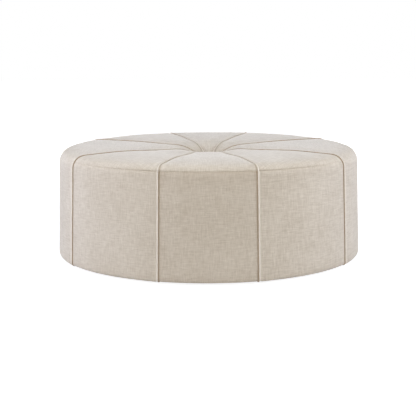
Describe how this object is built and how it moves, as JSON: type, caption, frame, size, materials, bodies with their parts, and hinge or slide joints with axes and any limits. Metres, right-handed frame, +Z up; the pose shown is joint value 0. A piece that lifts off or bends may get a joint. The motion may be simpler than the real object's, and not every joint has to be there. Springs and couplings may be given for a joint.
{
  "type": "oval tufted ottoman coffee table",
  "caption": "Low oval upholstered ottoman with a flat tufted top, radial welted seams, straight padded walls and hidden glides.",
  "frame": {"origin": "on the floor under the centre of the oval, at the glides' undersides", "axes": "+X along the length, -Y towards the front, +Z up"},
  "size_m": [1.219, 0.8638, 0.44],
  "materials": {
    "linen": "slubby oatmeal linen weave",
    "wadding": "white polyester fibre",
    "foam": "pale open-cell foam",
    "plywood": "bare plywood",
    "pine": "bare sawn pine",
    "fibreboard": "bare hardboard",
    "dust_fabric": "black nonwoven",
    "twine": "waxed twine",
    "steel": "zinc plated",
    "glide_plastic": "black nylon"
  },
  "bodies": {
    "root": {"cover_top_front_right": "linen", "cover_side_front_right": "linen", "cover_top_right": "linen", "cover_side_right": "linen", "cover_top_back_right": "linen", "cover_side_back_right": "linen", "cover_top_back": "linen", "cover_side_back": "linen", "cover_top_back_left": "linen", "cover_side_back_left": "linen", "cover_top_left": "linen", "cover_side_left": "linen", "cover_top_front_left": "linen", "cover_side_front_left": "linen", "cover_top_front": "linen", "cover_side_front": "linen", "welt_front_inner_left": "linen", "welt_front_inner_right": "linen", "welt_front_outer_left": "linen", "welt_front_outer_right": "linen", "welt_back_inner_left": "linen", "welt_back_inner_right": "linen", "welt_back_outer_left": "linen", "welt_back_outer_right": "linen", "button_cover": "linen", "button_shell": "steel", "button_back": "steel", "tufting_twine": "twine", "twine_toggle": "pine", "top_wadding": "wadding", "side_wadding_front": "wadding", "side_wadding_back": "wadding", "top_foam": "foam", "side_foam_front": "foam", "side_foam_back": "foam", "wall_board_front": "fibreboard", "wall_board_back": "fibreboard", "deck_board": "plywood", "base_rail_front": "plywood", "base_rail_back": "plywood", "base_rail_right": "plywood", "base_rail_left": "plywood", "post_right_front": "pine", "post_right_back": "pine", "post_back_right": "pine", "post_back_left": "pine", "post_left_back": "pine", "post_left_front": "pine", "post_front_left": "pine", "post_front_right": "pine", "deck_stretcher_front": "pine", "deck_stretcher_back": "pine", "frame_screws": "steel", "stretcher_screws": "steel", "cover_staples": "steel", "dust_cover_staples": "steel", "board_staples": "steel", "glide_nails": "steel", "dust_cover": "dust_fabric", "glides": "glide_plastic"}
  },
  "joints": []
}
